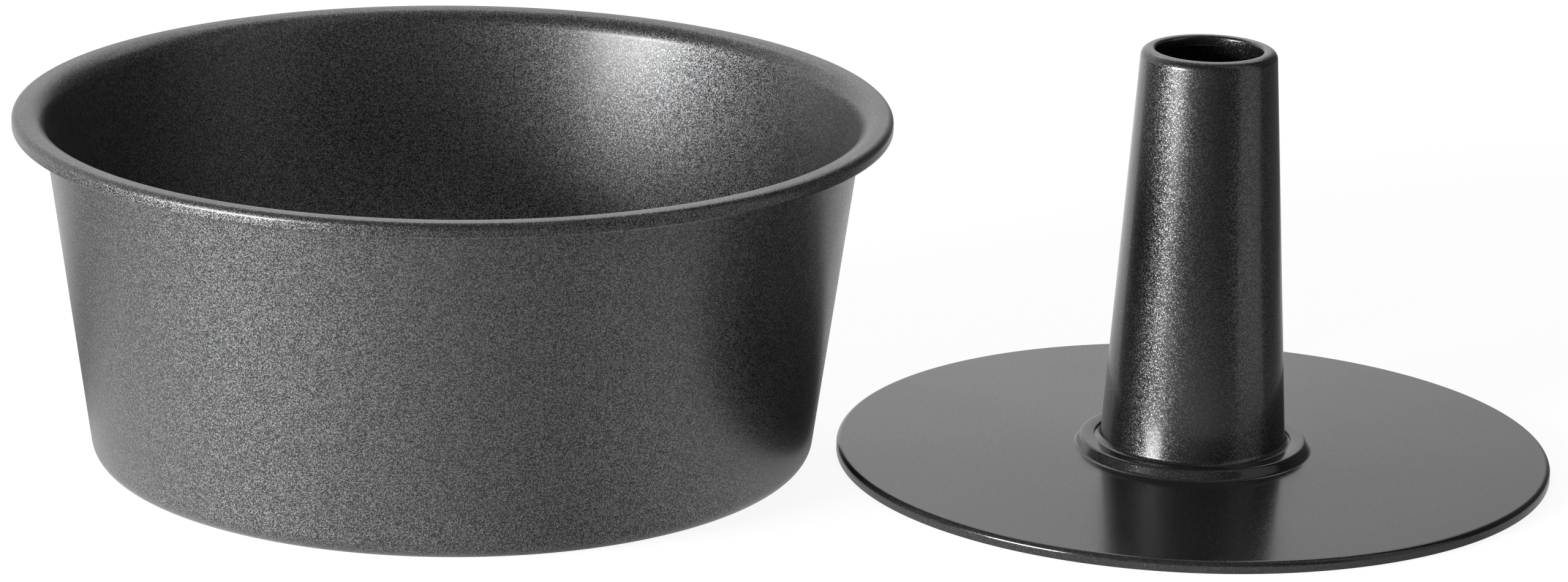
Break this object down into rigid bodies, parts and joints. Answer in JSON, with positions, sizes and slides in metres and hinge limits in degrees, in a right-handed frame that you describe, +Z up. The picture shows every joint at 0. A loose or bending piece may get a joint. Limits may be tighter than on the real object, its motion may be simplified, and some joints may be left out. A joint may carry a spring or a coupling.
{
  "type": "two-piece angel food cake pan",
  "caption": "Dark non-stick tube pan for angel food cake: a tapered open-bottomed shell with a rolled rim, and a lift-out base disc with a centre tube.",
  "frame": {"origin": "middle of the footprint of the set, on the surface that it stands on", "axes": "+X from the pan shell towards the insert that stands beside it, +Y away from the viewer, +Z up"},
  "size_m": [0.4494, 0.254, 0.1239],
  "materials": {
    "shell_coating": "satin charcoal non-stick coating with fine metallic flakes",
    "disc_coating": "smooth satin charcoal non-stick coating",
    "tube_coating": "semi-gloss charcoal non-stick coating with fine metallic flakes"
  },
  "bodies": {
    "shell": {"pan_shell": "shell_coating"},
    "insert": {"base_disc": "disc_coating", "centre_tube": "tube_coating"}
  },
  "joints": [
    {"name": "insert_lift", "type": "slide", "parent": "shell", "child": "insert", "axis": [0.2079, 0, 0.9781], "range_m": [0, 0.15]}
  ]
}
